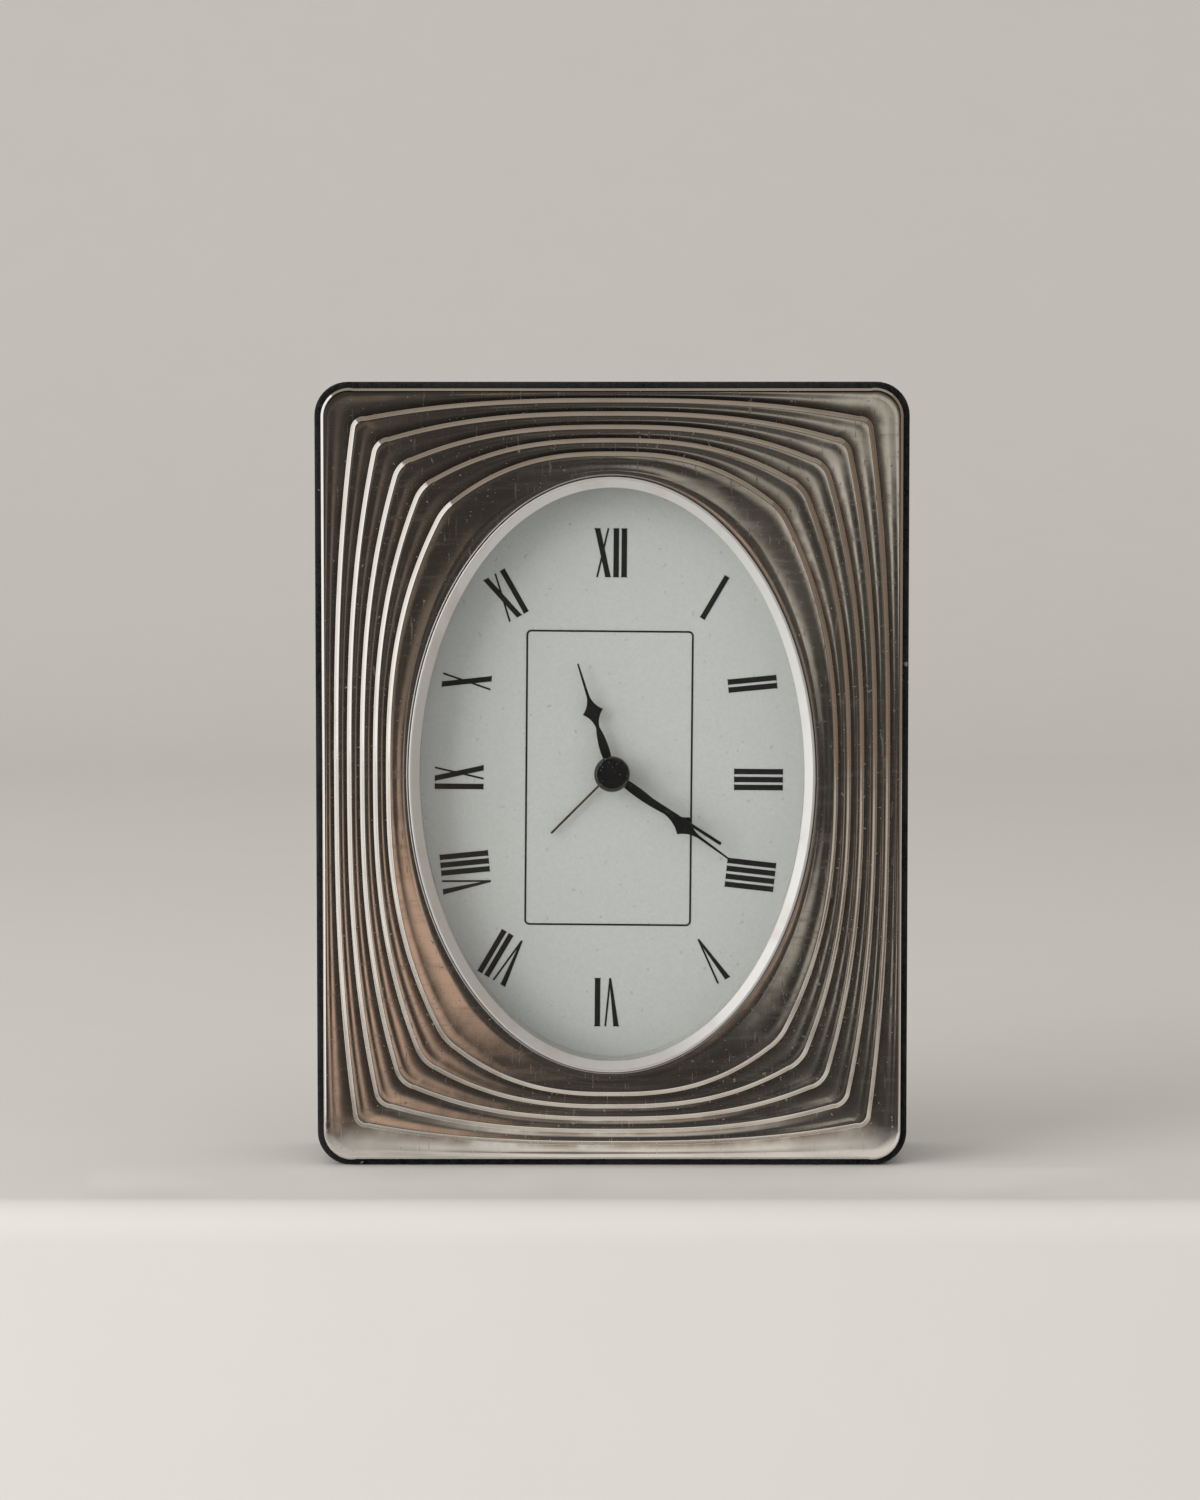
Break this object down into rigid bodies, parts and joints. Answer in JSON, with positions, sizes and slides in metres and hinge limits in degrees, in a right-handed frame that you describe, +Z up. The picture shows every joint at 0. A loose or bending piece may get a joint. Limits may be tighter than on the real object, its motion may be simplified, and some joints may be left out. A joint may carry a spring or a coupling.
{
  "type": "desk clock",
  "caption": "Upright desk alarm clock: stepped, bowed silver front round an oval dial with Roman numerals, in a black velvet case, with its battery movement inside.",
  "frame": {"origin": "middle of the footprint, on the surface that the clock stands on", "axes": "+Z up, +X to the viewer's right, the dial faces -Y"},
  "size_m": [0.092, 0.0296, 0.122],
  "materials": {
    "silver": "polished silver, lightly tarnished",
    "bezel": "bright polished",
    "glass": "clear flat glass",
    "spacer": "matt pale grey",
    "dial": "matt pale silver grey",
    "print": "black print",
    "hands": "black lacquer",
    "cap": "glossy black",
    "alarm_hand": "dull bronze",
    "velvet": "black velvet over board",
    "board": "plain hardboard",
    "steel": "plain steel",
    "movement": "moulded black",
    "train": "moulded ivory",
    "plate": "moulded grey",
    "brass": "turned brass",
    "magnet": "sintered magnet",
    "copper": "enamelled copper wire",
    "circuit": "green lacquer",
    "chip": "black resin drop",
    "cell": "printed sleeve",
    "contact": "nickel plate",
    "door": "moulded black",
    "knob": "moulded black"
  },
  "bodies": {
    "case": {"silver_front": "silver", "bezel_ring": "bezel", "glass": "glass", "spacer_ring": "spacer", "dial": "dial", "dial_numerals": "print", "dial_line": "print", "velvet_case": "velvet", "back_panel": "velvet", "back_screws": "steel", "dial_plate": "board", "dial_plate_screws": "steel", "movement_case": "movement", "movement_cover": "movement", "cover_screws": "steel", "movement_screws": "steel", "train_plate": "plate", "train_bridge": "plate", "bridge_screws": "steel", "stator": "steel", "coil_core": "steel", "coil_bobbin": "plate", "coil_winding": "copper", "circuit_board": "circuit", "quartz_crystal": "contact", "timing_chip": "chip", "buzzer": "brass", "battery": "cell", "battery_contact_plus": "contact", "battery_contact_minus": "contact"},
    "minute": {"minute_hand": "hands", "minute_arbor": "brass"},
    "hour": {"hour_hand": "hands", "hour_wheel": "train"},
    "motion": {"motion_wheel": "train", "time_knob": "knob"},
    "second": {"second_hand": "hands", "second_cap": "cap", "second_wheel": "train"},
    "third": {"third_wheel": "train"},
    "fifth": {"fifth_wheel": "train"},
    "rotor": {"rotor_pinion": "train", "rotor_magnet": "magnet"},
    "centre": {"centre_wheel": "train"},
    "alarm_set": {"alarm_arbor": "train", "alarm_knob": "knob"},
    "alarm": {"alarm_hand": "alarm_hand", "alarm_wheel": "train"},
    "switch": {"alarm_switch": "knob"},
    "door": {"battery_door": "door"}
  },
  "joints": [
    {"name": "minute_turn", "type": "hinge", "parent": "case", "child": "minute", "pos_m": [0, 0, 0.0614], "axis": [0, 1, 0], "continuous": true},
    {"name": "hour_turn", "type": "hinge", "parent": "case", "child": "hour", "pos_m": [0, 0, 0.0614], "axis": [0, 1, 0], "continuous": true},
    {"name": "motion_turn", "type": "hinge", "parent": "case", "child": "motion", "pos_m": [-0.00886, 0, 0.05984], "axis": [0, 1, 0], "continuous": true},
    {"name": "second_turn", "type": "hinge", "parent": "case", "child": "second", "pos_m": [0, 0, 0.0614], "axis": [0, 1, 0], "continuous": true},
    {"name": "third_turn", "type": "hinge", "parent": "case", "child": "third", "pos_m": [0.0036, 0, 0.06764], "axis": [0, 1, 0], "continuous": true},
    {"name": "fifth_turn", "type": "hinge", "parent": "case", "child": "fifth", "pos_m": [-0.00563, 0, 0.06612], "axis": [0, 1, 0], "continuous": true},
    {"name": "rotor_turn", "type": "hinge", "parent": "case", "child": "rotor", "pos_m": [-0.00657, 0, 0.07144], "axis": [0, 1, 0], "continuous": true},
    {"name": "centre_turn", "type": "hinge", "parent": "case", "child": "centre", "pos_m": [0, 0, 0.0614], "axis": [0, 1, 0], "continuous": true},
    {"name": "alarm_set_turn", "type": "hinge", "parent": "case", "child": "alarm_set", "pos_m": [0.00886, 0, 0.05984], "axis": [0, 1, 0], "continuous": true},
    {"name": "alarm_turn", "type": "hinge", "parent": "case", "child": "alarm", "pos_m": [0, 0, 0.0614], "axis": [0, 1, 0], "continuous": true},
    {"name": "switch_slide", "type": "slide", "parent": "case", "child": "switch", "axis": [-1, 0, 0], "range_m": [0, 0.003]},
    {"name": "door_lift", "type": "slide", "parent": "case", "child": "door", "axis": [0, 1, 0], "range_m": [0, 0.02]}
  ],
  "couplings": [
    {"joint": "hour_turn", "follows": "minute_turn", "ratio": 0.083333},
    {"joint": "motion_turn", "follows": "minute_turn", "ratio": -0.33333},
    {"joint": "third_turn", "follows": "second_turn", "ratio": -0.13333},
    {"joint": "fifth_turn", "follows": "second_turn", "ratio": -6},
    {"joint": "rotor_turn", "follows": "second_turn", "ratio": 30},
    {"joint": "centre_turn", "follows": "second_turn", "ratio": 0.016667},
    {"joint": "alarm_turn", "follows": "alarm_set_turn", "ratio": -0.25}
  ]
}
